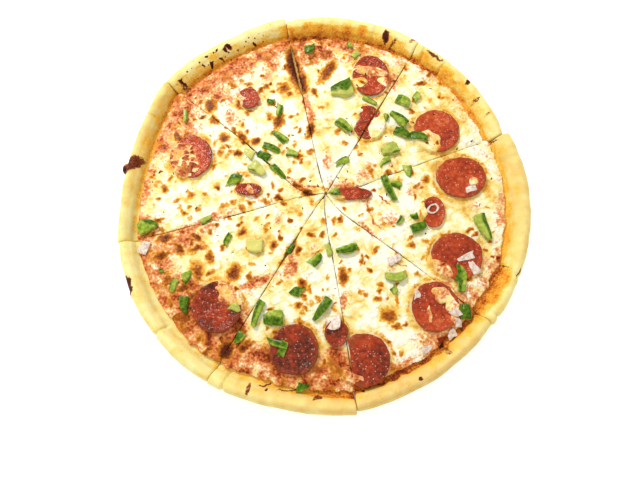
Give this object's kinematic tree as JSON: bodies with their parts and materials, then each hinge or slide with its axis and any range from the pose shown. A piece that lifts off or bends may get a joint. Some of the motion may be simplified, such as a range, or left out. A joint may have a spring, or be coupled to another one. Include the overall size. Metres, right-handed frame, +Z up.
{
  "type": "sliced pepperoni pizza",
  "caption": "Round baked pizza cut into slices that still lie together, with a rolled rim, melted cheese, pepperoni, green pepper and onion.",
  "frame": {"origin": "middle of the round outline, on the plane that the pizza rests on", "axes": "+Z up through the toppings, +X to the right and +Y away from the viewer of the picture"},
  "size_m": [0.3537, 0.3568, 0.0184],
  "materials": {
    "dough": "dry baked dough, pale gold, browned in places",
    "sauce": "moist tomato sauce",
    "cheese": "melted and toasted, oily sheen",
    "sausage": "oily baked sausage",
    "green_pepper": "cooked, waxy skin and moist flesh",
    "onion": "cooked, translucent white"
  },
  "bodies": {
    "root": {"crust_1": "dough", "crust_2": "dough", "crust_3": "dough", "crust_4": "dough", "crust_5": "dough", "crust_6": "dough", "crust_7": "dough", "crust_8": "dough", "sauce_1": "sauce", "sauce_2": "sauce", "sauce_3": "sauce", "sauce_4": "sauce", "sauce_5": "sauce", "sauce_6": "sauce", "sauce_7": "sauce", "sauce_8": "sauce", "cheese_1": "cheese", "cheese_2": "cheese", "cheese_3": "cheese", "cheese_4": "cheese", "cheese_5": "cheese", "cheese_6": "cheese", "cheese_7": "cheese", "cheese_8": "cheese", "pepperoni_01": "sausage", "pepperoni_02": "sausage", "pepperoni_03": "sausage", "pepperoni_04": "sausage", "pepperoni_05": "sausage", "pepperoni_06": "sausage", "pepperoni_07": "sausage", "pepperoni_08": "sausage", "pepperoni_09": "sausage", "pepperoni_10": "sausage", "pepperoni_11": "sausage", "pepperoni_12": "sausage", "pepperoni_13": "sausage", "pepperoni_14": "sausage", "pepperoni_15": "sausage", "pepperoni_16": "sausage", "pepper_01": "green_pepper", "pepper_02": "green_pepper", "pepper_03": "green_pepper", "pepper_04": "green_pepper", "pepper_05": "green_pepper", "pepper_06": "green_pepper", "pepper_07": "green_pepper", "pepper_08": "green_pepper", "pepper_09": "green_pepper", "pepper_10": "green_pepper", "pepper_11": "green_pepper", "pepper_12": "green_pepper", "pepper_13": "green_pepper", "pepper_14": "green_pepper", "pepper_15": "green_pepper", "pepper_16": "green_pepper", "pepper_17": "green_pepper", "pepper_18": "green_pepper", "pepper_19": "green_pepper", "onion_01": "onion"}
  },
  "joints": []
}
